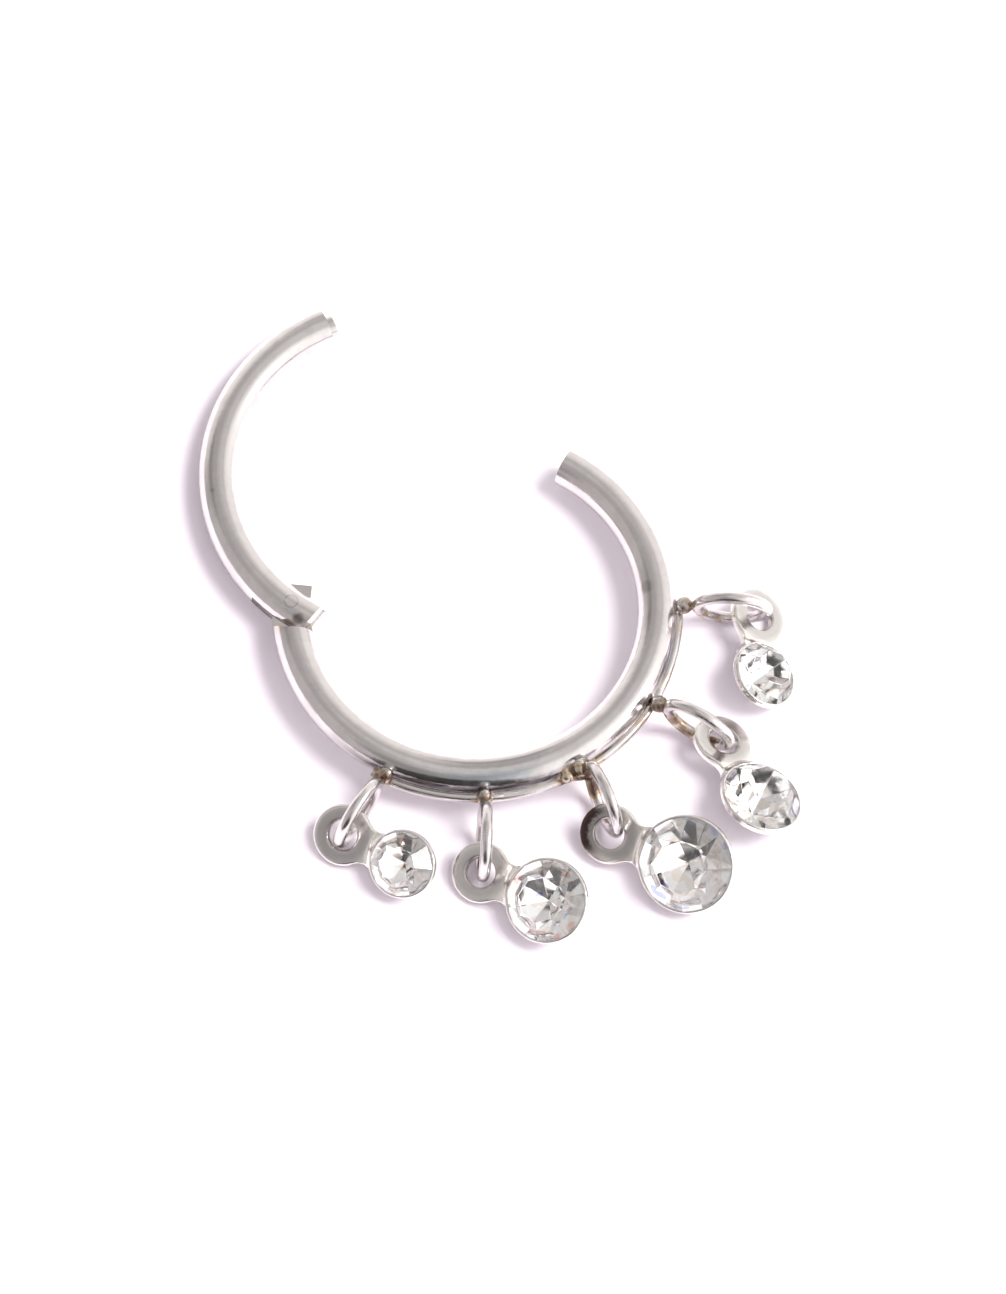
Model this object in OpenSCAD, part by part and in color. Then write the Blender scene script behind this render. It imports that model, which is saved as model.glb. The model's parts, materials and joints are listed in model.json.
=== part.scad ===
/* [Hoop] */
// Clear diameter inside the closed ring
inner_d = 10; // [8:0.5:12]
// Diameter of the main wire
wire_d = 1.2; // [1:0.1:1.6]
// Share of the circle taken by the hinged gate, in degrees
gate_arc = 119.5; // [100:0.5:130]
// Angle by which the gate stands open
gate_open = 53.4; // [0:0.1:80]

/* [Hinge] */
// Reach of the gate's rounded tail past the pivot
tail_reach = 0.82; // [0.75:0.01:0.9]
// Reach of the fixed tongue past the pivot
tongue_reach = 0.78; // [0.7:0.01:0.85]
// Thickness of the tongue
tongue_t = 0.3; // [0.25:0.01:0.4]
// Depth of the gate's slot past the pivot
slot_depth = 1.15; // [1.05:0.01:1.3]
// Diameter of the hinge pin
pin_d = 0.4; // [0.3:0.01:0.5]

/* [Latch] */
// Diameter of the nub on the gate's tip
nub_d = 0.72; // [0.6:0.01:0.74]
// How far the nub stands out of the tip
nub_len = 0.36; // [0.3:0.01:0.4]
// How far the nub sits towards the inside of the ring
nub_offset = 0.06; // [0.05:0.01:0.08]
// Diameter of the socket that takes the nub
socket_d = 0.94; // [0.92:0.01:0.98]

/* [Loops] */
// Diameter of the thin wire soldered along the outside
gallery_d = 0.32; // [0.25:0.01:0.4]
// Outside diameter of a jump ring
loop_d = 2.5; // [2.3:0.05:2.8]
// Diameter of a jump ring's wire
loop_wire_d = 0.37; // [0.3:0.01:0.4]

/* [Charms] */
// Diameter of a charm's flat tab
tab_d = 1.9; // [1.7:0.01:2]
// Diameter of the hole in the tab
tab_hole_d = 0.92; // [0.85:0.01:0.95]
// Thickness of the tab
tab_t = 0.3; // [0.25:0.01:0.35]
// Radius of the hollow at each side of the neck between tab and cup
notch_r = 0.5; // [0.4:0.01:0.6]
// Height of the rim above the middle of the tab
rim_rise = 0.35; // [0.25:0.01:0.45]
// Thickness of the cup's rim
rim_t = 0.09; // [0.08:0.01:0.14]
// Depth of a cup as a share of its diameter
cup_depth = 0.42; // [0.4:0.01:0.46]

/* [Hidden] */
$fn = 64;

// Columns of the table of jump rings, in order round the hoop
AT = 0;       // angle on the hoop
START = 1;    // distance from the centre of the hoop to the ring
YAW = 2;      // turn of the ring from straight out
LEAN = 3;     // lean of the ring from upright
loops = [
  [-116.4, 6.46, -6.5, -4.5],
  [ -87.5, 6.56,   -3,   -4],
  [ -56.8, 6.26,  -10,    0],
  [ -29.5, 6.60, -0.5,    5],
  [   1.3, 6.64,   -5,  8.5]
];

// Columns of the table of solder joints
JOINT_AT = 0; // angle on the hoop
JOINT_R = 1;  // distance from the centre of the hoop
JOINT_D = 2;  // diameter
JOINT_UP = 3; // height of the small drop on top
joints = [
  [-116.0, 6.27, 0.42, 0.22],
  [ -87.2, 6.38, 0.48, 0.20],
  [ -63.4, 6.27, 0.46, 0.16],
  [ -59.0, 6.27, 0.68, 0.20],
  [ -29.6, 6.50, 0.46, 0.16],
  [   1.2, 6.44, 0.46, 0.16]
];

// Columns of the table of charms
TAB_AT = 0;   // angle at which the hole of the tab lies
TAB_R = 1;    // distance from the centre of the hoop to that hole
NECK = 2;     // gap from the hole's centre to the rim of the cup
CUP_D = 3;    // diameter over the rim of the cup
HEADING = 4;  // direction in plan from the tab to the cup
PITCH = 5;    // rise of the cup end
ROLL = 6;     // lean about the long axis
TURN = 7;     // turn of the stone in its cup
charms = [
  [-118.6, 8.33, 1.06, 2.12, -28.3,  5.5,  31.5, 14],
  [ -88.5, 8.49, 1.02, 2.64, -27.6,  9.8,  26.8, 10],
  [ -60.3, 8.36, 1.07, 3.05, -24.0,  5.5,  34.0, 16],
  [ -28.7, 8.64, 1.02, 2.62, -62.5,  5.0, -24.5, 19],
  [   0.2, 8.69, 0.97, 2.17, -88.7,  3.5, -32.5, 20]
];

// Hoop
wire_r = wire_d / 2;
ring_r = inner_d / 2 + wire_r;
tip_angle = 180 - gate_arc;
fit_gap = 0.04;
end_gap = 0.5 * fit_gap / ring_r * 180 / PI;
big = 4;

// Hinge, about a pivot on the middle line of the wire
relief_r = tail_reach + fit_gap;
slot_gap = 0.03;
pin_play = 0.03;
pin_seat_gap = 0.01;
tongue_slope = 6;
hinge_wedge = 14;

// Latch
nub_r = nub_d / 2;
nub_dome_r = 0.5;
nub_root = 0.3;
nub_dome_back = nub_len - nub_dome_r;
socket_depth = nub_len + 0.1;

// Thin wire and solder
gallery_r = gallery_d / 2;
gallery_path_r = 6.23;
gallery_drop = 0.22;
gallery_from = -120;
gallery_to = 2;
drop_back = 0.1;
drop_share = 0.58;

// Jump rings
loop_wire_r = loop_wire_d / 2;
loop_path_r = loop_d / 2 - loop_wire_r;

// How the ring lies: on the two outer jump rings and on the far side of the gate
prop_at = (loops[0][AT] + loops[4][AT]) / 2;
prop_dir = [cos(prop_at), sin(prop_at)];
prop_centre = (loops[0][START] + loops[4][START] + loop_d) / 2 * cos((loops[4][AT] - loops[0][AT]) / 2);
gate_centre = [-ring_r + ring_r * cos(gate_open), ring_r * sin(gate_open)];
gate_far = gate_centre * prop_dir - ring_r;
rest_tilt = asin((loop_d / 2 - wire_r) / (prop_centre - gate_far));
centre_height = wire_r - sin(rest_tilt) * gate_far;

// Charms
tab_r = tab_d / 2;
tab_edge = 0.05;
sink_r = tab_hole_d / 2 + 0.05;
cup_base = 0.42;
cup_shoulder = 0.2;
cup_chamfer = 0.1;
lip = 0.04;
seat_floor = 0.11;
ramp_reach = 0.26;
ramp_end = 1.5;
notch_bite = 0.01;

// Stones
stone_gap = 0.02;
stone_sides = 8;
half_step = 180 / stone_sides;
table_share = 0.56;
crown_share = 0.48;
pavilion_share = 0.74;
girdle_t = 0.03;
girdle_drop = 0.05;
crown_slope = crown_share / ((1 - table_share) * cos(half_step));

// Lays the ring's plane down as it rests, with the charm side propped up
module resting() {
  rotate(a = rest_tilt, v = [prop_dir[1], -prop_dir[0], 0]) children();
}

// Wire bent round the middle of the hoop between two angles
module arc_wire(path_r, r, from, to) {
  rotate([0, 0, from]) rotate_extrude(angle = to - from, $fn = 128)
    translate([path_r, 0]) circle(r = r, $fn = 48);
}

// Outline of the tail: round on the outside, square on the inside
module tail_outline(r) {
  circle(r = r);
  translate([0, -r]) square([big, r]);
}

module at_pivot() {
  translate([-ring_r, 0, 0]) children();
}

// Frame with its origin on the wire's middle line at an angle and +Z along the wire, back towards the gate
module at_tip() {
  rotate([0, 0, tip_angle]) translate([ring_r, 0, 0]) rotate([90, 0, 0]) children();
}

// What the gate's fork needs free above and below the tongue
module fork_room() {
  for (side = [0, 1]) mirror([0, 0, side]) translate([0, 0, tongue_t / 2]) linear_extrude(height = big) {
    tail_outline(relief_r);
    translate([-big, 0]) square([2 * big, big]);
  }
}

// Main wire with its flat tongue at the hinge and its socket at the open end
module fixed_wire() {
  difference() {
    arc_wire(ring_r, wire_r, 180 - hinge_wedge, 360 + tip_angle - end_gap);
    at_pivot() fork_room();
    at_pivot() translate([0, tongue_reach, 0]) rotate([0, 0, -tongue_slope])
      translate([-big, 0, -big]) cube(2 * big);
    at_pivot() cylinder(d = pin_d + 2 * pin_play, h = big, center = true);
    at_tip() translate([0, 0, -big / 2]) cylinder(d = socket_d, h = socket_depth + big / 2);
  }
}

// Solder: a round joint on the thin wire with a small drop on top
module solder_joint(row) {
  rotate([0, 0, row[JOINT_AT]]) translate([row[JOINT_R], 0, 0]) {
    sphere(d = row[JOINT_D], $fn = 32);
    translate([-drop_back, 0, row[JOINT_UP]]) sphere(d = row[JOINT_D] * drop_share, $fn = 32);
  }
}

module jump_ring(row) {
  rotate([0, 0, row[AT]]) translate([row[START], 0, 0]) rotate([0, 0, row[YAW]]) rotate([row[LEAN], 0, 0])
    translate([loop_d / 2, 0, 0]) rotate([90, 0, 0])
      rotate_extrude() translate([loop_path_r, 0]) circle(r = loop_wire_r, $fn = 32);
}

module hoop() {
  color("silver") resting() {
    fixed_wire();
    translate([0, 0, -gallery_drop]) arc_wire(gallery_path_r, gallery_r, gallery_from, gallery_to);
    for (row = joints) solder_joint(row);
    for (row = loops) jump_ring(row);
  }
}

// Turns the gate about its pivot from closed to where it rests
module opened() {
  at_pivot() rotate([0, 0, gate_open]) translate([ring_r, 0, 0]) children();
}

module latch_nub() {
  at_tip() translate([-nub_offset, 0, 0]) intersection() {
    translate([0, 0, -nub_root]) cylinder(r = nub_r, h = nub_root + nub_len, $fn = 48);
    translate([0, 0, nub_dome_back]) sphere(r = nub_dome_r, $fn = 48);
  }
}

module gate() {
  color("silver") resting() opened() {
    difference() {
      arc_wire(ring_r, wire_r, tip_angle + end_gap, 180 + hinge_wedge);
      at_pivot() difference() {
        translate([-big / 2, -big, -big / 2]) cube([big, big, big]);
        linear_extrude(height = 2 * big, center = true) tail_outline(tail_reach);
      }
      at_pivot() translate([-big / 2, slot_depth - big, -tongue_t / 2 - slot_gap])
        cube([big, big, tongue_t + 2 * slot_gap]);
      at_pivot() cylinder(d = pin_d + 2 * pin_seat_gap, h = big, center = true);
    }
    latch_nub();
  }
}

// Pin filed flush with the round wire
module hinge_pin() {
  color("gainsboro") resting() opened() intersection() {
    arc_wire(ring_r, wire_r, 180 - hinge_wedge, 180 + hinge_wedge);
    at_pivot() cylinder(d = pin_d, h = wire_d, center = true, $fn = 48);
  }
}

// Distance from the hole of a tab to the axis of its cup
function cup_at(row) = row[CUP_D] / 2 + row[NECK];

// Lowest point of a ring of points on the cup, from the hole of the tab
function ring_low(row, r, z) =
  let (up = cos(row[PITCH]) * cos(row[ROLL]))
  cup_at(row) * sin(row[PITCH]) + z * up - r * sqrt(1 - up * up);

// Radius and height of the corners of the cup's base
function cup_bottom(row) = rim_rise - cup_depth * row[CUP_D];
function base_r(row) = cup_base * row[CUP_D] / 2;

// Radius of a stone, and depth of its girdle's low corners under the high ones
function stone_r(row) = row[CUP_D] / 2 - rim_t - stone_gap;
function girdle_dip(r) = crown_slope * r * (1 - cos(half_step));

// Lowest point of the tab's edge, from its hole
function tab_low(row) =
  let (up = cos(row[PITCH]) * cos(row[ROLL]), side = sqrt(1 - up * up))
  min(-tab_r * side - (tab_t / 2 - tab_edge) * up, -(tab_r - tab_edge) * side - tab_t / 2 * up);

// Height at which the hole of a tab lies when the charm rests on the table
function tab_height(row) = -centre_height - min(
  tab_low(row),
  ring_low(row, base_r(row) - cup_chamfer, cup_bottom(row)),
  ring_low(row, base_r(row), cup_bottom(row) + cup_chamfer));

module charm_place(row) {
  translate([row[TAB_R] * cos(row[TAB_AT]), row[TAB_R] * sin(row[TAB_AT]), tab_height(row)])
    rotate([row[ROLL], -row[PITCH], row[HEADING]]) children();
}

module cup_body(row) {
  r = row[CUP_D] / 2;
  z = cup_bottom(row);
  rotate_extrude() polygon([
    [0, z],
    [base_r(row) - cup_chamfer, z],
    [base_r(row), z + cup_chamfer],
    [r - lip / 2, rim_rise - cup_shoulder - lip],
    [r, rim_rise - cup_shoulder],
    [r, rim_rise - lip],
    [r - lip, rim_rise],
    [0, rim_rise]
  ]);
}

// Hollow under the stone: straight at the rim, then a cone down to the floor
module cup_hollow(row) {
  r = row[CUP_D] / 2 - rim_t;
  floor_z = cup_bottom(row) + seat_floor;
  rotate_extrude() polygon([
    [0, floor_z],
    [0.1 * r, floor_z],
    [r, rim_rise - girdle_drop - girdle_dip(stone_r(row)) - girdle_t - stone_gap],
    [r, rim_rise + 1],
    [0, rim_rise + 1]
  ]);
}

// Centre of the circle that hollows the neck's side and runs into the edges of tab and cup
function notch_x(row) =
  let (from_tab = tab_r + notch_r - notch_bite, from_cup = row[CUP_D] / 2 + notch_r - notch_bite)
  (pow(cup_at(row), 2) + pow(from_tab, 2) - pow(from_cup, 2)) / (2 * cup_at(row));
function notch_y(row) = sqrt(pow(tab_r + notch_r - notch_bite, 2) - pow(notch_x(row), 2));

// Ramp that carries the neck up to the wall of the cup
module neck_ramp(row) {
  r = row[CUP_D] / 2;
  half_angle = atan2(notch_y(row), cup_at(row) - notch_x(row)) - ramp_end;
  translate([cup_at(row), 0, 0]) rotate([0, 0, 180 - half_angle])
    rotate_extrude(angle = 2 * half_angle) polygon([
      [r - rim_t, 0],
      [r + ramp_reach, tab_t / 2 - tab_edge],
      [r + ramp_reach / 3, tab_t / 2 + 0.03],
      [r - rim_t / 2, tab_t / 2 + 0.12]
    ]);
}

// Neck between tab and cup: a flat web with the ramp on it, hollow on both sides
module neck(row) {
  x = notch_x(row);
  y = notch_y(row);
  difference() {
    union() {
      translate([0, 0, -tab_t / 2]) linear_extrude(tab_t)
        polygon([[0, 0], [x, -y], [cup_at(row), 0], [x, y]]);
      neck_ramp(row);
    }
    for (side = [-1, 1]) translate([x, side * y, -big / 2]) cylinder(r = notch_r, h = big);
  }
}

module tab_blank() {
  rotate_extrude() polygon([
    [0, -tab_t / 2],
    [tab_r - tab_edge, -tab_t / 2],
    [tab_r, -tab_t / 2 + tab_edge],
    [tab_r, tab_t / 2 - tab_edge],
    [tab_r - tab_edge, tab_t / 2],
    [0, tab_t / 2]
  ]);
}

module tab_hole() {
  cylinder(d = tab_hole_d, h = 2 * tab_t, center = true);
  for (side = [0, 1]) mirror([0, 0, side]) translate([0, 0, tab_t / 2 - tab_edge])
    cylinder(r1 = tab_hole_d / 2, r2 = sink_r + tab_edge, h = 3 * tab_edge);
}

module charm_setting(row) {
  color("darkgray") charm_place(row) difference() {
    union() {
      tab_blank();
      neck(row);
      translate([cup_at(row), 0, 0]) cup_body(row);
    }
    tab_hole();
    translate([cup_at(row), 0, 0]) cup_hollow(row);
  }
}

// One level of corners of a stone
function level(n, r, z, turn) =
  [for (i = [0 : n - 1]) [r * cos(i * 360 / n + turn), r * sin(i * 360 / n + turn), z]];

// Round cut stone: a table and eight sides above the girdle, eight sides turned by half a step below it.
// The girdle's corners are high and low by turns, so that every side stays flat.
module cut_stone(r) {
  n = stone_sides;
  low_z = -girdle_dip(r) - girdle_t;
  culet_z = -pavilion_share * r;
  pavilion_slope = (low_z - culet_z) / (r * cos(half_step));
  points = concat(
    level(n, table_share * r, crown_share * r, 0),
    level(n, r, 0, 0),
    level(n, r, -girdle_dip(r), half_step),
    level(n, r, culet_z + pavilion_slope * r, 0),
    level(n, r, low_z, half_step),
    [[0, 0, culet_z]]
  );
  high = n;
  low = 2 * n;
  under_high = 3 * n;
  under_low = 4 * n;
  culet = 5 * n;
  faces = concat(
    [[for (i = [n - 1 : -1 : 0]) i]],
    [for (i = [0 : n - 1]) [i, (i + 1) % n, high + (i + 1) % n, low + i, high + i]],
    [for (i = [0 : n - 1]) [high + i, low + i, under_low + i, under_high + i]],
    [for (i = [0 : n - 1]) [low + i, high + (i + 1) % n, under_high + (i + 1) % n, under_low + i]],
    [for (i = [0 : n - 1]) [culet, under_low + (i + n - 1) % n, under_high + i, under_low + i]]
  );
  polyhedron(points = points, faces = faces);
}

module crystal(row) {
  color("white") charm_place(row)
    translate([cup_at(row), 0, rim_rise - girdle_drop]) rotate([0, 0, row[TURN]]) cut_stone(stone_r(row));
}

hoop();
gate();
hinge_pin();
for (i = [0 : len(charms) - 1]) {
  charm_setting(charms[i]);
  crystal(charms[i]);
}
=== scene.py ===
import json
import math

import bmesh
import bpy
from mathutils import Matrix, Quaternion, Vector, noise


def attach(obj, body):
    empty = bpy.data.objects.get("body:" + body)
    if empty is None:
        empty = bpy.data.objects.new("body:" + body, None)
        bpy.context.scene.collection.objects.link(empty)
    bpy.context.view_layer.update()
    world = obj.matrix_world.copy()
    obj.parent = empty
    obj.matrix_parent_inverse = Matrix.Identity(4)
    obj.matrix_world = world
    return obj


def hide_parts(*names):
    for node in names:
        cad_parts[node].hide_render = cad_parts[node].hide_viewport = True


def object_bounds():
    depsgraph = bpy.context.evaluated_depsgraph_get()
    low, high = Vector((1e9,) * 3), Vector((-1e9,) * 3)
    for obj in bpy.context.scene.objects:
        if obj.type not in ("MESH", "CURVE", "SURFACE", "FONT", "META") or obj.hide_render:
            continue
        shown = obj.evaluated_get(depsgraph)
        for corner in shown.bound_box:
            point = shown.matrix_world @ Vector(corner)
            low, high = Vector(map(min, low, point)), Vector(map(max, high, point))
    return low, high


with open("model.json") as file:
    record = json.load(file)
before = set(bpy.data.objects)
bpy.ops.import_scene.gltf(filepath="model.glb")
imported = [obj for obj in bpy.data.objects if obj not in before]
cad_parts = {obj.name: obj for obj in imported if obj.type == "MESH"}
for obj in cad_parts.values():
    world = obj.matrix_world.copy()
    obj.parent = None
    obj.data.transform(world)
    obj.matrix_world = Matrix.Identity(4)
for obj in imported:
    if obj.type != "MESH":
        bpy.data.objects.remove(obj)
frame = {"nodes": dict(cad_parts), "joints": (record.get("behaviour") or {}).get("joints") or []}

# Sizes are in millimetres and angles in degrees. Only the studio's places and sizes are in metres.
MM = 0.001
cad_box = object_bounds()
nodes = frame["nodes"]
hinge = frame["joints"][0]

# Ring: places on it are angles round the hoop, from the side away from the hinge, distances from the
# middle of the hoop, and heights above its plane
RING_R = 5.6
WIRE_R = 0.6
GATE_OPEN = 53.4                # how far the gate is open at rest
UP = Vector(hinge["axis"]).normalized()
PIVOT = Vector(hinge["pos_m"]) / MM
ACROSS = -(PIVOT - PIVOT.dot(UP) * UP).normalized()
ALONG = UP.cross(ACROSS)
HOOP_CENTRE = Vector((0, 0, 0))
GATE_CENTRE = PIVOT + Quaternion(UP, math.radians(GATE_OPEN)) @ (HOOP_CENTRE - PIVOT)

# Angle opposite the middle of each half, where the pattern along its wire starts anew
HOOP_SEAM = 120
GATE_SEAM = HOOP_SEAM - 180 + GATE_OPEN

# Corners of a solid that are nearer than this are joined
WELD = 0.0005

# Heat marks of the soldering: angle, distance, height, reach, strength
HEAT_MARKS = [
    (-117.0, 6.34, 0.02, 0.30, 0.80),
    (-116.6, 6.20, -0.24, 0.40, 0.90),
    (-116.0, 6.36, 0.14, 0.34, 0.42),
    (-88.4, 6.46, -0.16, 0.36, 0.80),
    (-86.6, 6.42, 0.12, 0.34, 0.42),
    (-64.6, 6.30, -0.14, 0.36, 0.90),
    (-63.4, 6.24, 0.12, 0.34, 0.42),
    (-60.6, 6.48, -0.18, 0.46, 1.00),
    (-59.4, 6.24, 0.16, 0.40, 0.42),
    (-58.4, 6.46, -0.20, 0.50, 1.00),
    (-58.0, 6.80, -0.50, 0.62, 0.90),
    (-55.0, 6.36, -0.06, 0.30, 0.60),
    (-53.0, 6.36, -0.22, 0.50, 0.24),
    (-44.0, 6.36, -0.22, 0.60, 0.16),
    (-36.0, 6.36, -0.22, 0.55, 0.26),
    (-30.4, 6.58, -0.14, 0.32, 1.00),
    (-30.2, 7.40, -0.90, 0.34, 0.80),
    (-29.6, 6.92, -0.48, 0.36, 0.70),
    (-29.5, 8.42, -0.88, 0.42, 0.95),
    (-29.2, 6.52, 0.10, 0.25, 0.90),
    (-22.0, 6.36, -0.22, 0.45, 0.22),
    (-6.0, 6.36, -0.22, 0.45, 0.22),
    (0.2, 7.50, -0.94, 0.24, 0.70),
    (0.8, 6.98, -0.52, 0.24, 0.80),
    (1.0, 6.52, -0.04, 0.30, 1.00),
    (1.4, 6.46, 0.08, 0.23, 0.90),
]
HEAT_CORE = 0.30                # share of the reach within which a mark has its full strength
HEAT_WAVER = 0.55               # how far the edges of the marks waver
STRAW_HEAT = (0.02, 0.42)       # heat at which the steel begins to turn straw, and is straw
BROWN_HEAT = (0.38, 0.95)

# Painted reflections on the hoop's main wire: dark, grey and blue-grey bands that stand in for the dark
# things the polished wire mirrors. Each has first angle and width of its edge, last angle and width of its
# edge, first and last angle round the wire from its top, strength, colour
# painted reflections: dark and blue-grey bands standing in for what the wire mirrors
PAINTED_REFLECTIONS = [
    (-98, 6, -66, 6, -24, 4, 0.50, (0.36, 0.34, 0.34)),
    (-100, 16, -73, 6, 16, 46, 0.70, (0.36, 0.42, 0.47)),
    (-128, 15, -65, 4, 56, 87, 0.96, (0.085, 0.078, 0.083)),
    (-66, 3, -46, 4, 80, 106, 0.90, (0.11, 0.10, 0.09)),
    (-24, 5, -8, 5, 66, 92, 0.85, (0.20, 0.25, 0.29)),
    (-9, 4, -2, 5, -40, -22, 0.35, (0.30, 0.28, 0.27)),
]
PAINTED_REFLECTION_EDGE = 11                 # width of the edges round the wire
PAINTED_REFLECTION_WAVER_ALONG = 10          # how far the edges waver
PAINTED_REFLECTION_WAVER_ROUND = 18
PAINTED_REFLECTION_LINES = 0.9               # how much the fine lines of the wire add to that
MAIN_WIRE_ENDS = (1.04 * WIRE_R, 1.01 * WIRE_R)    # they end just outside the main wire

# Small marks on both halves, the first of them a painted shade on the gate's end by the hinge: place in the
# model, reach, strength, colour
MARKS_AND_PAINTED_SHADE = [
    # painted shade: dark smudge where the gate's end is shaded by the hinge
    ((-5.42, -0.56, 0.36), 0.26, 0.80, (0.13, 0.12, 0.12)),
    ((-5.02, -0.40, 0.16), 0.46, 0.80, (0.76, 0.69, 0.60)),
    ((-5.92, -0.78, 0.22), 0.34, 0.80, (0.60, 0.53, 0.45)),
    ((-8.02, 3.78, 0.16), 0.15, 0.60, (0.22, 0.21, 0.22)),
    ((5.22, 0.57, 0.60), 0.30, 0.45, (0.26, 0.24, 0.23)),
]
MARK_CORE = 0.35                # as for the heat marks
MARK_WAVER = 0.3

# Slot in the gate's fork, with painted light inside (a lighter colour than the steel, so that its shade
# does not go black) and a rougher surface: where this begins and is full, distance from the middle of the
# wire, height above or below it, distance from the pin
SLOT_WIRE = (0.58, 0.54)
SLOT_HEIGHT = (0.205, 0.190)
SLOT_REACH = (1.55, 1.35)

# Solder over the joints: angle, distance, height, reach, turns of smoothing, thickness, and the round
# drop in it, with its distance, height and radius
SOLDER = [
    (-116.0, 6.34, 0.04, 0.46, 80, 0.045, (6.20, 0.12, 0.235)),
    (-87.4, 6.44, 0.0, 0.46, 80, 0.045, (6.33, 0.10, 0.235)),
    (-60.2, 6.46, -0.06, 0.82, 200, 0.055, None),
    (-29.6, 6.56, 0.0, 0.46, 110, 0.055, (6.48, 0.04, 0.27)),
    (1.2, 6.50, 0.0, 0.42, 110, 0.055, (6.42, 0.04, 0.27)),
]
SOLDER_NET = 0.024              # size of the cells of the fine net
SOLDER_CUT = 1.12               # radius of the piece that is cut out, as a share of the reach
SOLDER_STRAW_START = 0.95       # shares of the reach at which the straw begins and is full
SOLDER_STRAW_FULL = 0.45
SOLDER_SMOOTHING = 0.5
SOLDER_UNDER = 0.05             # how deep the edge of the solder lies under the wires
LUMP_HEIGHT = 0.018
LUMPS_PER_MM = 4.0
DROP_SMOOTHING_TURNS = 3

# Settings: compass angle and distance of the hole in each tab, seen from above
TABS = [(-118.6, 8.33), (-88.5, 8.49), (-60.3, 8.36), (-28.7, 8.64), (0.2, 8.69)]
TAB_R = 0.95
HOLE_EDGE_R = 0.54              # just outside the edge of the hole
TAB_ZONE = 1.25                 # how far the tab's edges are rounded, as a share of its radius
TAB_SMOOTHING = 0.5
TAB_SMOOTHING_TURNS = 22
CUP_SMOOTHING = 0.4
CUP_SMOOTHING_TURNS = 2
SETTING_NET = 0.022

# Painted shade in a ring round the hole and painted highlight on the neck, where each begins and is full,
# from the middle of the hole
HOLE_PAINTED_SHADE = (0.95, 0.66)
HOLE_PAINTED_SHADE_SHARE = 0.65
HOLE_PAINTED_SHADE_WAVER = 0.5
NECK_HIGHLIGHT_INNER = (0.84, 1.0)
NECK_HIGHLIGHT_OUTER = (1.3, 1.1)

# Burnt edge of one tab
BURNT_TAB = 3
BURNT_SPOT = Vector((-0.80, 0.22, 0.0))    # its middle, from the middle of the hole
BURNT_REACH = (1.05, 0.55)      # where the burn begins and is full, from its middle
BURNT_RIM = (0.62, 0.76)        # where it grows from weak to full, from the middle of the hole
BURNT_INSIDE = 0.25             # how strong it is where it is weak
BURNT_WAVER = 0.3

# Stones
STONE_EDGE = 0.012              # width of the softened edges
STONE_SPREAD = 0.05             # how far the stone reaches past its solid, over the rim
STONE_LIFT = 0.05
SILVERED_BELOW = -0.2           # facets that face down more steeply than this are silvered
ONE_FACET = 1                   # angle up to which faces are joined to one facet
GLASS_IOR = 1.56
PAINTED_FLASHES_PER_MM = 3.4

# Patterns: scale for places in millimetres, detail, roughness
LINES = (0.9, 4, 0.62)
LINES_CLOSER = 26               # how much closer the lines lie than they are long
SCUFFS = (1.7, 4, 0.6)
DENTS = (5.5, 2, 0.5)
HEAT_RAGGED = (3.2, 3, 0.5)
PAINTED_REFLECTION_RAGGED = (2.4, 3, 0.5)
BLOTCHES = (4.5, 4, 0.6)
CLOUD = (1.3, 4, 0.62)
GRAIN = (14, 3, 0.6)
GLASS_MARKS = (9, 3, 0.6)
SILVER_MARKS = (4, 3, 0.5)

# Relief of the patterns: strength, depth in millimetres
LINES_RELIEF = (0.35, 0.0022)
DENTS_RELIEF = (0.30, 0.010)
BLOTCHES_RELIEF = (0.2, 0.01)
CLOUD_RELIEF = (0.3, 0.03)
GRAIN_RELIEF = (0.22, 0.004)
GLASS_RELIEF = (0.05, 0.002)

# Patterns that show as a colour: value at which the colour begins, value at which it is full
STEEL_WEAR = (0.35, 0.7)
SOLDER_PATCHES = (0.36, 0.50)
PLATED_WEAR = (0.35, 0.7)
# painted fire: where the flashes of split colour on the silvered backs begin and are full
PAINTED_WARM_FLASHES = (0.70, 0.85)
PAINTED_RED_FLASHES = (0.98, 0.985)
PAINTED_BLUE_FLASHES = (0.975, 0.98)

# Roughness: low and high value of the pattern, roughness at each
SCUFFS_ROUGH = (0.40, 0.72, 0.11, 0.22)
LINES_ROUGH = (0.45, 0.75, 0.0, 0.05)
SOLDER_ROUGH = (0.3, 0.7, 0.22, 0.38)
PLATED_ROUGH = (0.3, 0.75, 0.12, 0.24)
SILVER_ROUGH = (0.35, 0.75, 0.05, 0.16)
GLASS_ROUGH = (0.55, 0.85, 0.0, 0.05)

# What is added to the roughness in some places
HEAT_ADDS = 0.26
SLOT_ADDS = 0.45
THIN_WIRE_ADDS = 0.06
HOLE_PAINTED_SHADE_ROUGH_ADDS = 0.05

# Colours
STEEL_POLISHED = (0.675, 0.643, 0.634)
STEEL_WORN = (0.622, 0.59, 0.579)
STEEL_STRAW = (0.60, 0.49, 0.36)
STEEL_BROWN = (0.20, 0.14, 0.11)
STEEL_SLOT_PAINTED_LIGHT = (0.88, 0.85, 0.84)
SOLDER_GREY = (0.62, 0.605, 0.595)
SOLDER_STRAW = (0.54, 0.43, 0.31)
SOLDER_BROWN = (0.15, 0.098, 0.07)
PLATED_BRIGHT = (0.80, 0.78, 0.755)
PLATED_WORN = (0.68, 0.655, 0.635)
PLATED_PAINTED_SHADE = (0.49, 0.46, 0.445)
PLATED_NECK_HIGHLIGHT = (0.93, 0.90, 0.84)
PLATED_BURNT = (0.085, 0.058, 0.052)
SILVER = (0.98, 0.98, 0.98)
PAINTED_FIRE_WARM = (0.92, 0.86, 0.81)
PAINTED_FIRE_RED = (0.87, 0.62, 0.57)
PAINTED_FIRE_BLUE = (0.60, 0.64, 0.94)
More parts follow.
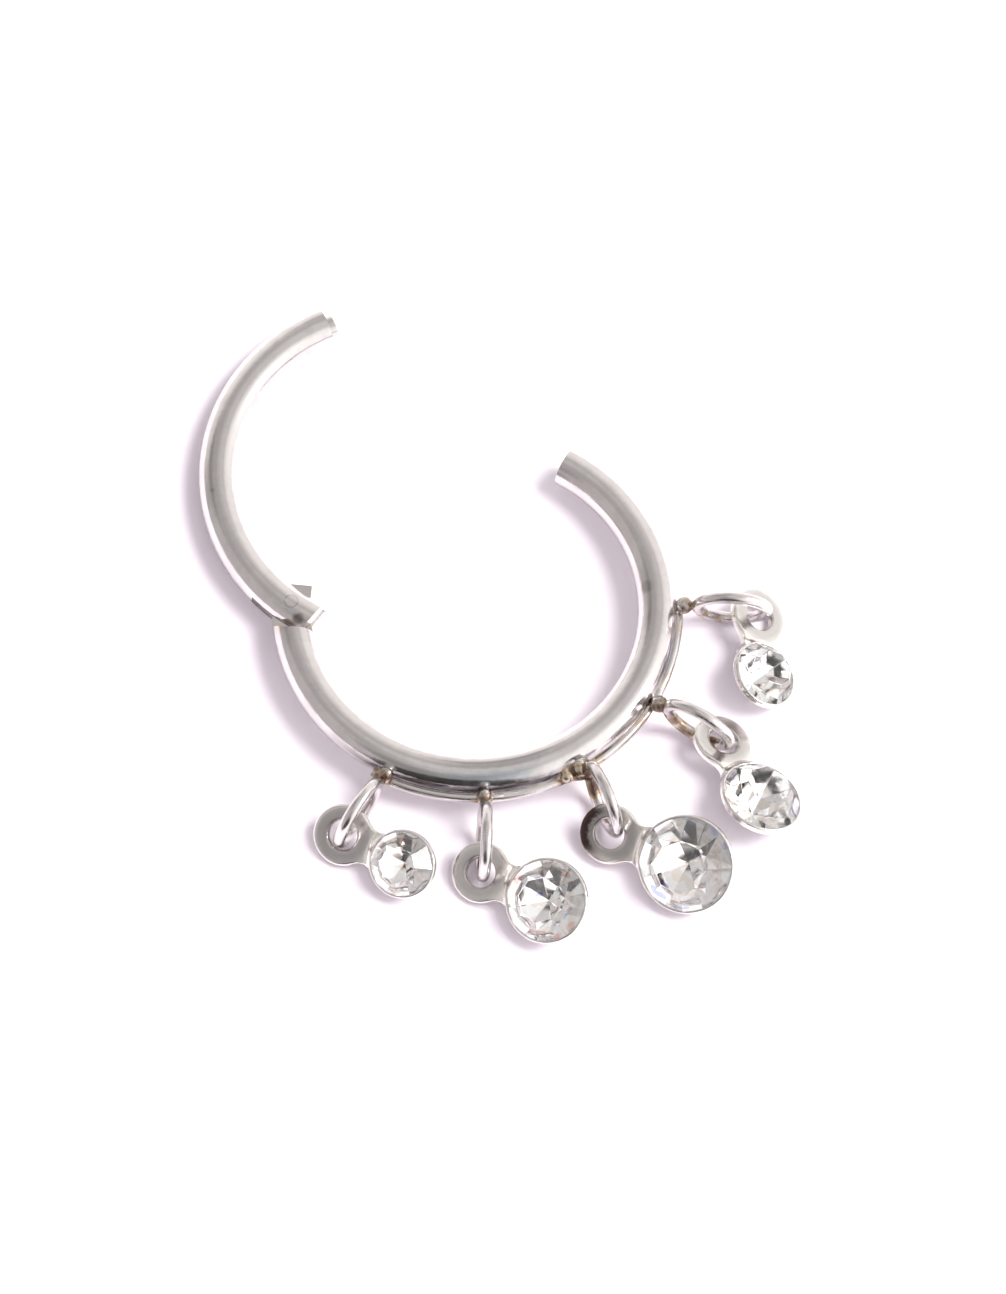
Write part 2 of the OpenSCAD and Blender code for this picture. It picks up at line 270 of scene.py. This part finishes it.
CLEAR = (1.0, 1.0, 1.0)
FLOOR_COLOUR = (0.93, 0.872, 0.945)
SURROUNDINGS_COLOUR = (0.525, 0.505, 0.50)

# Studio
FLOOR_Z = cad_box[0].z
FLOOR_SIZE = 3.0
CAMERA_AZIMUTH = -4.9
CAMERA_ELEVATION = 67.0
CAMERA_ROLL = 5.17
CAMERA_DISTANCE = 600 * MM
CAMERA_LENS = 545.6
CAMERA_CLIP = (10 * MM, 10)
AIM_RIGHT = 0.875 * MM
AIM_UP = -1.150 * MM

# Lights: name, compass angle, elevation, distance and size in metres, power in watts, colour, whether
# it is seen in reflections, whether it lights surfaces
LIGHTS = [
    ("key", 2, 56, 0.5, 0.3, 3.2, (1.0, 0.99, 0.97), False, True),
    ("sparkle", 353, 31, 0.5, 0.14, 0.75, (1.0, 1.0, 1.0), True, False),
    ("fill", 275, 60, 0.8, 1.0, 0.7, (0.97, 0.85, 1.0), False, True),
]

# Bright and dark areas around the ring: compass angle, elevation, inner and outer half angle, grey, tint
SURROUNDINGS = [
    (109, -10, 2, 61, 1.35, (1.0, 0.97, 0.95)),
    (54, 3, 8, 75, 1.23, (1.0, 0.975, 0.955)),
    (336, 20, 6, 64, 1.59, (1.0, 0.99, 0.98)),
    (345, 88, 2, 33, 0.87, (1.0, 0.98, 0.97)),
    (53, 56, 2, 15, 0.77, (1.0, 0.97, 0.96)),
    (183, 53, 2, 35, 0.55, (1.0, 0.97, 0.97)),
    (202, 20, 33, 38, 0.67, (1.0, 0.96, 0.96)),
    (258, 8, 26, 38, 0.08, (1.0, 0.93, 0.95)),
    (229, 47, 2, 19, 0.38, (1.0, 0.96, 0.96)),
    (146, 38, 2, 15, 0.37, (1.0, 0.97, 0.96)),
    (95, 33, 2, 14, 0.60, (1.0, 0.97, 0.96)),
]

# Sockets of a mix node that has colours in it
MIX_SHARE = 0
MIX_SHADE = 6
MIX_TINT = 7
MIX_RESULT = 2


class Graph:
    """Adds nodes to a node tree and joins them."""

    def __init__(self, tree):
        self.tree = tree
        tree.nodes.clear()

    def put(self, node, socket, value):
        if isinstance(value, bpy.types.NodeSocket):
            self.tree.links.new(value, node.inputs[socket])
        else:
            node.inputs[socket].default_value = value

    def add(self, kind, inputs=None, **settings):
        node = self.tree.nodes.new(kind)
        for name, value in settings.items():
            setattr(node, name, value)
        for socket, value in (inputs or {}).items():
            self.put(node, socket, value)
        return node

    def math(self, operation, *values):
        return self.add("ShaderNodeMath", dict(enumerate(values)), operation=operation).outputs[0]

    def plus(self, a, b):
        return self.math("ADD", a, b)

    def times(self, a, b):
        return self.math("MULTIPLY", a, b)

    def around_zero(self, share, size):
        """A value from 0 to 1, moved to lie around 0 and scaled."""
        return self.times(self.math("SUBTRACT", share, 0.5), size)

    def vector(self, operation, *values):
        node = self.add("ShaderNodeVectorMath", dict(enumerate(values)), operation=operation)
        return node.outputs["Value" if operation in ("DOT_PRODUCT", "DISTANCE", "LENGTH") else "Vector"]

    def smooth(self, value, begin, full, at_begin=0.0, at_full=1.0):
        """Goes softly from at_begin to at_full, as the value goes from begin to full."""
        node = self.add("ShaderNodeMapRange", {0: value, 1: begin, 2: full, 3: at_begin, 4: at_full})
        node.interpolation_type = "SMOOTHSTEP"
        return node.outputs[0]

    def mix(self, share, shade, tint):
        """The shade with a share of the tint over it."""
        node = self.add("ShaderNodeMix", data_type="RGBA")
        self.put(node, MIX_SHARE, share)
        self.put(node, MIX_SHADE, colour(shade))
        self.put(node, MIX_TINT, colour(tint))
        return node.outputs[MIX_RESULT]

    def combine(self, x, y, z):
        return self.add("ShaderNodeCombineXYZ", {0: x, 1: y, 2: z}).outputs[0]

    def noise(self, vector, pattern):
        scale, detail, roughness = pattern
        inputs = {"Vector": vector, "Scale": scale, "Detail": detail, "Roughness": roughness}
        return self.add("ShaderNodeTexNoise", inputs).outputs["Fac"]

    def bump(self, height, relief, normal=None):
        strength, depth = relief
        inputs = {"Height": height, "Strength": strength, "Distance": depth * MM}
        if normal is not None:
            inputs["Normal"] = normal
        return self.add("ShaderNodeBump", inputs).outputs[0]

    def place(self):
        """Point on the surface in millimetres, which moves with its body."""
        here = self.add("ShaderNodeTexCoord").outputs["Object"]
        return self.add("ShaderNodeVectorMath", {0: here, "Scale": 1 / MM}, operation="SCALE").outputs[0]

    def finish(self, shader):
        self.add("ShaderNodeOutputMaterial", {"Surface": shader.outputs[0]})

    def finish_metal(self, shade, rough, normal=None):
        inputs = {"Base Color": shade, "Roughness": rough, "Metallic": 1.0}
        if normal is not None:
            inputs["Normal"] = normal
        self.finish(self.add("ShaderNodeBsdfPrincipled", inputs))


def colour(shade):
    """A colour for a socket, from three parts or from another socket."""
    return shade if isinstance(shade, bpy.types.NodeSocket) else (*shade, 1)


def direction(azimuth, elevation):
    """Unit vector that points at a compass angle from +X, and an angle above the floor."""
    a, e = math.radians(azimuth), math.radians(elevation)
    return Vector((math.cos(a) * math.cos(e), math.sin(a) * math.cos(e), math.sin(e)))


def on_ring(angle, distance, height=0.0):
    """Point at an angle on the ring, in millimetres."""
    a = math.radians(angle)
    return distance * (math.cos(a) * ACROSS + math.sin(a) * ALONG) + height * UP


def add_object(name, data):
    """An object with this data, in the scene."""
    made = bpy.data.objects.new(name, data)
    bpy.context.scene.collection.objects.link(made)
    return made


# Camera, light and floor

def camera():
    """The camera at the photo's angle."""
    a, e = math.radians(CAMERA_AZIMUTH), math.radians(CAMERA_ELEVATION)
    back = Vector((math.sin(a) * math.cos(e), -math.cos(a) * math.cos(e), math.sin(e)))
    level = Vector((math.cos(a), math.sin(a), 0))
    roll = math.radians(CAMERA_ROLL)
    right = math.cos(roll) * level + math.sin(roll) * back.cross(level)
    up = back.cross(right)
    data = bpy.data.cameras.new("camera")
    data.lens = CAMERA_LENS
    data.clip_start, data.clip_end = CAMERA_CLIP
    made = add_object("camera", data)
    made.location = AIM_RIGHT * right + AIM_UP * up + CAMERA_DISTANCE * back
    made.rotation_mode = "QUATERNION"
    made.rotation_quaternion = Matrix((right, up, back)).transposed().to_quaternion()
    bpy.context.scene.camera = made


def surroundings():
    """The studio that the metal mirrors."""
    world = bpy.data.worlds.new("studio")
    world.use_nodes = True
    bpy.context.scene.world = world
    g = Graph(world.node_tree)
    towards = g.add("ShaderNodeTexCoord").outputs["Generated"]
    shade = SURROUNDINGS_COLOUR
    for compass, elevation, inner, outer, grey, tint in SURROUNDINGS:
        facing = g.vector("DOT_PRODUCT", towards, direction(compass, elevation))
        share = g.smooth(facing, math.cos(math.radians(outer)), math.cos(math.radians(inner)))
        shade = g.mix(share, shade, [grey * part for part in tint])
    background = g.add("ShaderNodeBackground", {"Color": shade, "Strength": 1.0})
    g.add("ShaderNodeOutputWorld", {"Surface": background.outputs[0]})


def area_light(name, compass, elevation, distance, size, power, tint, in_reflections, on_surfaces):
    """A round light that faces the ring."""
    data = bpy.data.lights.new(name, "AREA")
    data.shape = "DISK"
    data.size = size
    data.energy = power
    data.color = tint
    made = add_object(name, data)
    towards = direction(compass, elevation)
    made.location = towards * distance
    made.rotation_mode = "QUATERNION"
    made.rotation_quaternion = towards.to_track_quat("Z", "Y")
    made.visible_glossy = in_reflections
    made.visible_transmission = in_reflections
    made.visible_diffuse = on_surfaces
    made.visible_camera = False


def floor():
    """The surface that the ring lies on."""
    half = FLOOR_SIZE / 2
    corners = [(x, y, FLOOR_Z) for x, y in ((-half, -half), (half, -half), (half, half), (-half, half))]
    mesh = bpy.data.meshes.new("floor")
    mesh.from_pydata(corners, [], [(0, 1, 2, 3)])
    made = add_object("floor", mesh)
    material, g = new_material("floor")
    g.finish(g.add("ShaderNodeBsdfDiffuse", {"Color": colour(FLOOR_COLOUR)}))
    mesh.materials.append(material)


# Materials

def new_material(name):
    """An empty material and its graph."""
    material = bpy.data.materials.new(name)
    material.use_nodes = True
    return material, Graph(material.node_tree)


def solder_metal():
    """Solder: bright, straw and brown in patches, fading to the grey of the wires at its edge."""
    material, g = new_material("solder")
    here = g.place()
    near = 0.0
    for angle, distance, height, reach, *_ in SOLDER:
        away = g.vector("DISTANCE", here, on_ring(angle, distance, height))
        near_joint = g.smooth(away, SOLDER_STRAW_START * reach, SOLDER_STRAW_FULL * reach)
        near = g.math("MAXIMUM", near, near_joint)
    blotches = g.noise(here, BLOTCHES)
    straw = g.mix(near, SOLDER_GREY, SOLDER_STRAW)
    browned = g.times(near, g.smooth(blotches, *SOLDER_PATCHES))
    shade = g.mix(browned, straw, SOLDER_BROWN)
    rough = g.smooth(blotches, *SOLDER_ROUGH)
    g.finish_metal(shade, rough, g.bump(blotches, BLOTCHES_RELIEF))
    return material


def heat_share(g, here):
    """How much a point is discoloured by the soldering, 0 to 1, with ragged edges."""
    ragged = g.around_zero(g.noise(here, HEAT_RAGGED), HEAT_WAVER)
    share = 0.0
    for angle, distance, height, reach, strength in HEAT_MARKS:
        away = g.plus(g.vector("DISTANCE", here, on_ring(angle, distance, height)), ragged)
        share = g.math("MAXIMUM", share, g.smooth(away, reach, HEAT_CORE * reach, 0.0, strength))
    return share


def with_painted_reflections(g, shade, angle, side, main, ragged):
    """The shade of the main wire with the painted reflections, dark and blue-grey bands, laid over it."""
    angle = g.plus(angle, g.times(ragged, PAINTED_REFLECTION_WAVER_ALONG))
    side = g.plus(side, g.times(ragged, PAINTED_REFLECTION_WAVER_ROUND))
    for first, first_edge, last, last_edge, low, high, strength, tint in PAINTED_REFLECTIONS:
        begun = g.smooth(angle, first - first_edge, first + first_edge)
        not_ended = g.smooth(angle, last - last_edge, last + last_edge, strength, 0.0)
        above_low = g.smooth(side, low - PAINTED_REFLECTION_EDGE, low + PAINTED_REFLECTION_EDGE)
        below_high = g.smooth(side, high - PAINTED_REFLECTION_EDGE, high + PAINTED_REFLECTION_EDGE, 1.0, 0.0)
        share = g.times(g.times(begun, not_ended), g.times(above_low, below_high))
        shade = g.mix(g.times(share, main), shade, tint)
    return shade


def with_marks_and_painted_shade(g, shade, here, scuffs):
    """The shade of the steel with the small marks and the painted shade by the hinge laid over it."""
    ragged = g.around_zero(scuffs, MARK_WAVER)
    for place, reach, strength, tint in MARKS_AND_PAINTED_SHADE:
        away = g.plus(g.vector("DISTANCE", here, Vector(place)), ragged)
        shade = g.mix(g.smooth(away, reach, MARK_CORE * reach, 0.0, strength), shade, tint)
    return shade


def steel(name, centre, seam, soldered):
    """Polished steel wire with fine lines along it, handling marks with a painted shade by the hinge, and
    straw to brown heat tint; painted reflections on the hoop and painted light in the gate's slot.
    """
    material, g = new_material(name)
    here = g.place()
    out = g.vector("SUBTRACT", here, centre)
    first = on_ring(seam - 180, 1)
    x = g.vector("DOT_PRODUCT", out, first)
    y = g.vector("DOT_PRODUCT", out, UP.cross(first))
    height = g.vector("DOT_PRODUCT", out, UP)
    distance = g.math("SQRT", g.plus(g.times(x, x), g.times(y, y)))
    turned = g.math("ARCTAN2", y, x)
    outward = g.times(distance, LINES_CLOSER)
    upward = g.times(height, LINES_CLOSER)
    onward = g.times(turned, RING_R)
    lines = g.noise(g.combine(outward, upward, onward), LINES)
    scuffs = g.noise(here, SCUFFS)
    dents = g.noise(here, DENTS)
    rough = g.plus(g.smooth(scuffs, *SCUFFS_ROUGH), g.smooth(lines, *LINES_ROUGH))
    shade = g.mix(g.smooth(scuffs, *STEEL_WEAR), STEEL_POLISHED, STEEL_WORN)
    shade = with_marks_and_painted_shade(g, shade, here, scuffs)
    out_of_middle = g.math("SUBTRACT", distance, RING_R)
    from_middle = g.vector("LENGTH", g.combine(out_of_middle, height, 0.0))
    if soldered:
        angle = g.plus(g.math("DEGREES", turned), seam - 180)
        side = g.math("DEGREES", g.math("ARCTAN2", out_of_middle, height))
        main = g.smooth(from_middle, *MAIN_WIRE_ENDS)
        ragged = g.plus(g.around_zero(g.noise(here, PAINTED_REFLECTION_RAGGED), 1.0), g.around_zero(lines, PAINTED_REFLECTION_LINES))
        # painted reflections: dark and blue-grey bands on the main wire where it mirrors dark things
        shade = with_painted_reflections(g, shade, angle, side, main, ragged)
        heat = heat_share(g, here)
        straw = g.mix(g.smooth(heat, *STRAW_HEAT), shade, STEEL_STRAW)
        shade = g.mix(g.smooth(heat, *BROWN_HEAT), straw, STEEL_BROWN)
        thin = g.math("SUBTRACT", 1.0, main)
        rough = g.plus(g.plus(rough, g.times(thin, THIN_WIRE_ADDS)), g.times(heat, HEAT_ADDS))
    else:
        inside = g.smooth(from_middle, *SLOT_WIRE)
        flat = g.smooth(g.math("ABSOLUTE", height), *SLOT_HEIGHT)
        near = g.smooth(g.vector("DISTANCE", here, PIVOT), *SLOT_REACH)
        slot = g.times(g.times(inside, flat), near)
        # painted light: the inside of the slot is painted lighter than the steel
        shade = g.mix(slot, shade, STEEL_SLOT_PAINTED_LIGHT)
        rough = g.plus(rough, g.times(slot, SLOT_ADDS))
    g.finish_metal(shade, rough, g.bump(lines, LINES_RELIEF, g.bump(dents, DENTS_RELIEF)))
    return material


def plated(name, centre, burnt):
    """Plated stamping, tumbled smooth, a little duller round the hole of the tab, with painted shade round
    the hole and a painted highlight on the neck.
    """
    material, g = new_material(name)
    here = g.place()
    away = g.vector("DISTANCE", here, centre)
    cloud = g.noise(here, CLOUD)
    grain = g.noise(here, GRAIN)
    # painted shade: a darker ring round the hole, where the jump ring shades the tab
    hole_shade = g.smooth(g.plus(away, g.around_zero(cloud, HOLE_PAINTED_SHADE_WAVER)), *HOLE_PAINTED_SHADE)
    shade = g.mix(g.smooth(cloud, *PLATED_WEAR), PLATED_BRIGHT, PLATED_WORN)
    shade = g.mix(g.times(hole_shade, HOLE_PAINTED_SHADE_SHARE), shade, PLATED_PAINTED_SHADE)
    # painted highlight: the neck that curves up to the cup is painted brighter
    neck_highlight = g.times(g.smooth(away, *NECK_HIGHLIGHT_INNER), g.smooth(away, *NECK_HIGHLIGHT_OUTER))
    shade = g.mix(neck_highlight, shade, PLATED_NECK_HIGHLIGHT)
    if burnt:
        ragged = g.around_zero(grain, BURNT_WAVER)
        from_spot = g.vector("DISTANCE", here, centre + BURNT_SPOT)
        side = g.smooth(g.plus(from_spot, ragged), *BURNT_REACH)
        heat = g.times(side, g.smooth(g.plus(away, ragged), *BURNT_RIM, BURNT_INSIDE, 1.0))
        shade = g.mix(heat, shade, PLATED_BURNT)
    rough = g.plus(g.smooth(cloud, *PLATED_ROUGH), g.times(hole_shade, HOLE_PAINTED_SHADE_ROUGH_ADDS))
    g.finish_metal(shade, rough, g.bump(grain, GRAIN_RELIEF, g.bump(cloud, CLOUD_RELIEF)))
    return material


def clear_glass():
    """Polished glass with faint handling marks."""
    material, g = new_material("crystal")
    marks = g.noise(g.place(), GLASS_MARKS)
    inputs = {
        "Base Color": colour(CLEAR),
        "Roughness": g.smooth(marks, *GLASS_ROUGH),
        "IOR": GLASS_IOR,
        "Normal": g.bump(marks, GLASS_RELIEF),
        "Transmission Weight": 1.0,
    }
    g.finish(g.add("ShaderNodeBsdfPrincipled", inputs))
    return material


def silver_back():
    """Silvered back of a stone, with small flashes of split colour painted into the silver as painted fire.
    """
    material, g = new_material("silver_back")
    here = g.place()
    cells = g.add("ShaderNodeTexVoronoi", {"Vector": here, "Scale": PAINTED_FLASHES_PER_MM})
    red, green, blue = g.add("ShaderNodeSeparateColor", {0: cells.outputs["Color"]}).outputs
    # painted fire: warm, red and blue flashes painted into the silver's colour
    shade = g.mix(g.smooth(blue, *PAINTED_WARM_FLASHES), SILVER, PAINTED_FIRE_WARM)
    shade = g.mix(g.smooth(red, *PAINTED_RED_FLASHES), shade, PAINTED_FIRE_RED)
    shade = g.mix(g.smooth(green, *PAINTED_BLUE_FLASHES), shade, PAINTED_FIRE_BLUE)
    g.finish_metal(shade, g.smooth(g.noise(here, SILVER_MARKS), *SILVER_ROUGH))
    return material


# Pieces

def node_shape(name):
    """The welded shape of a node, in millimetres."""
    shape = bmesh.new()
    shape.from_mesh(nodes[name].data)
    shape.transform(Matrix.Scale(1 / MM, 4))
    bmesh.ops.remove_doubles(shape, verts=shape.verts, dist=WELD)
    return shape


def add_piece(name, shape, materials):
    """The shape as a piece of the scene that rides on the ring."""
    shape.transform(Matrix.Scale(MM, 4))
    mesh = bpy.data.meshes.new(name)
    shape.to_mesh(mesh)
    shape.free()
    for material in materials:
        mesh.materials.append(material)
    made = add_object(name, mesh)
    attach(made, "ring")
    return made


def remeshed(shape, size, ball=None):
    """The shape as a fine even net; only the part inside the ball, if one is given."""
    mesh = bpy.data.meshes.new("blank")
    shape.to_mesh(mesh)
    shape.free()
    blank = add_object("blank", mesh)
    if ball is not None:
        cut = blank.modifiers.new("cut", "BOOLEAN")
        cut.operation = "INTERSECT"
        cut.solver = "EXACT"
        cut.object = ball
    remesh = blank.modifiers.new("remesh", "REMESH")
    remesh.mode = "VOXEL"
    remesh.voxel_size = size
    seen = blank.evaluated_get(bpy.context.evaluated_depsgraph_get())
    fine = bpy.data.meshes.new_from_object(seen)
    bpy.data.objects.remove(blank)
    bpy.data.meshes.remove(mesh)
    made = bmesh.new()
    made.from_mesh(fine)
    bpy.data.meshes.remove(fine)
    return made


def relax(shape, verts, factor, turns):
    """Moves these points towards their neighbours, as often as turns says."""
    every_way = {"use_axis_x": True, "use_axis_y": True, "use_axis_z": True}
    for _ in range(turns):
        bmesh.ops.smooth_vert(shape, verts=verts, factor=factor, **every_way)


def smooth_shaded(shape):
    for face in shape.faces:
        face.smooth = True


def joint_shape(middle, radius):
    """The part of the hoop inside a ball, as a fine even net."""
    ball_shape = bmesh.new()
    bmesh.ops.create_icosphere(ball_shape, subdivisions=3, radius=radius)
    ball_shape.transform(Matrix.Translation(middle))
    ball_mesh = bpy.data.meshes.new("ball")
    ball_shape.to_mesh(ball_mesh)
    ball_shape.free()
    ball = add_object("ball", ball_mesh)
    shape = remeshed(node_shape("hoop"), SOLDER_NET, ball)
    bpy.data.objects.remove(ball)
    bpy.data.meshes.remove(ball_mesh)
    return shape


def solder(number, material):
    """Solder over one joint: the wires there, run together, lumpy, and thinning out to nothing."""
    angle, distance, height, reach, turns, thickness, drop = SOLDER[number - 1]
    middle = on_ring(angle, distance, height)
    shape = joint_shape(middle, reach * SOLDER_CUT)
    relax(shape, shape.verts[:], SOLDER_SMOOTHING, turns)
    shape.normal_update()
    for vert in shape.verts:
        far = min((vert.co - middle).length / reach, 1.0)
        fade = far * far * (3 - 2 * far)
        lump = LUMP_HEIGHT * noise.noise(vert.co * LUMPS_PER_MM) * (1 - fade)
        vert.co += vert.normal * (thickness + lump - (thickness + SOLDER_UNDER) * fade)
    if drop is not None:
        drop_distance, drop_height, drop_r = drop
        drop_middle = on_ring(angle, drop_distance, drop_height)
        for vert in shape.verts:
            out = vert.co - drop_middle
            if out.length < drop_r:
                vert.co = drop_middle + out.normalized() * drop_r
        relax(shape, shape.verts[:], SOLDER_SMOOTHING, DROP_SMOOTHING_TURNS)
    gone = [face for face in shape.faces if (face.calc_center_median() - middle).length > reach]
    bmesh.ops.delete(shape, geom=gone, context="FACES")
    smooth_shaded(shape)
    add_piece(f"solder_{number}", shape, [material])


def tab_centre(number):
    """Centre of a tab's hole in millimetres, half way up the tab's own height."""
    angle, distance = TABS[number - 1]
    x, y = distance * math.cos(math.radians(angle)), distance * math.sin(math.radians(angle))
    places = [v.co / MM for v in nodes[f"charm_setting_{number}"].data.vertices]
    heights = [place.z for place in places if math.hypot(place.x - x, place.y - y) < HOLE_EDGE_R]
    return Vector((x, y, (min(heights) + max(heights)) / 2))


def setting(number):
    """The stamped tab and cup, with the edges that tumbling has rounded."""
    name = f"charm_setting_{number}"
    shape = remeshed(node_shape(name), SETTING_NET)
    centre = tab_centre(number)
    near = [v for v in shape.verts if (v.co - centre).length < TAB_R * TAB_ZONE]
    relax(shape, near, TAB_SMOOTHING, TAB_SMOOTHING_TURNS)
    relax(shape, shape.verts[:], CUP_SMOOTHING, CUP_SMOOTHING_TURNS)
    smooth_shaded(shape)
    material = plated(f"plated_{number}", centre, number == BURNT_TAB)
    made = add_piece(f"setting_{number}", shape, [material])
    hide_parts(name)


def stone(number, materials):
    """The cut stone, pressed over the rim, with softened edges: clear on top, silvered below the girdle."""
    name = f"crystal_{number}"
    shape = node_shape(name)
    flat = math.radians(ONE_FACET)
    bmesh.ops.dissolve_limit(shape, angle_limit=flat, verts=shape.verts, edges=shape.edges)
    axis = max(shape.faces, key=lambda face: face.calc_area()).normal.copy()
    middle = sum((v.co for v in shape.verts), Vector()) / len(shape.verts)
    radius = max((v.co - middle - (v.co - middle).dot(axis) * axis).length for v in shape.verts)
    spread = 1 + STONE_SPREAD / radius
    for vert in shape.verts:
        along = (vert.co - middle).dot(axis) * axis
        vert.co = middle + along + (vert.co - middle - along) * spread + STONE_LIFT * axis
    bmesh.ops.bevel(shape, geom=shape.edges[:], offset=STONE_EDGE, segments=1, affect="EDGES", profile=0.5)
    shape.normal_update()
    for face in shape.faces:
        face.material_index = 1 if face.normal.dot(axis) < SILVERED_BELOW else 0
    made = add_piece(f"stone_{number}", shape, materials)
    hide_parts(name)


def dress(name, material):
    """Gives a node that stays as it is its material."""
    nodes[name].data.materials.clear()
    nodes[name].data.materials.append(material)


camera()
surroundings()
for light in LIGHTS:
    area_light(*light)
floor()

dress("hoop", steel("hoop_steel", HOOP_CENTRE, HOOP_SEAM, soldered=True))
solder_look = solder_metal()
for joint in range(1, len(SOLDER) + 1):
    solder(joint, solder_look)
gate_steel = steel("gate_steel", GATE_CENTRE, GATE_SEAM, soldered=False)
dress("gate", gate_steel)
dress("hinge_pin", gate_steel)
stone_materials = [clear_glass(), silver_back()]
for charm in range(1, len(TABS) + 1):
    setting(charm)
    stone(charm, stone_materials)

bpy.context.scene.view_settings.view_transform = "Standard"
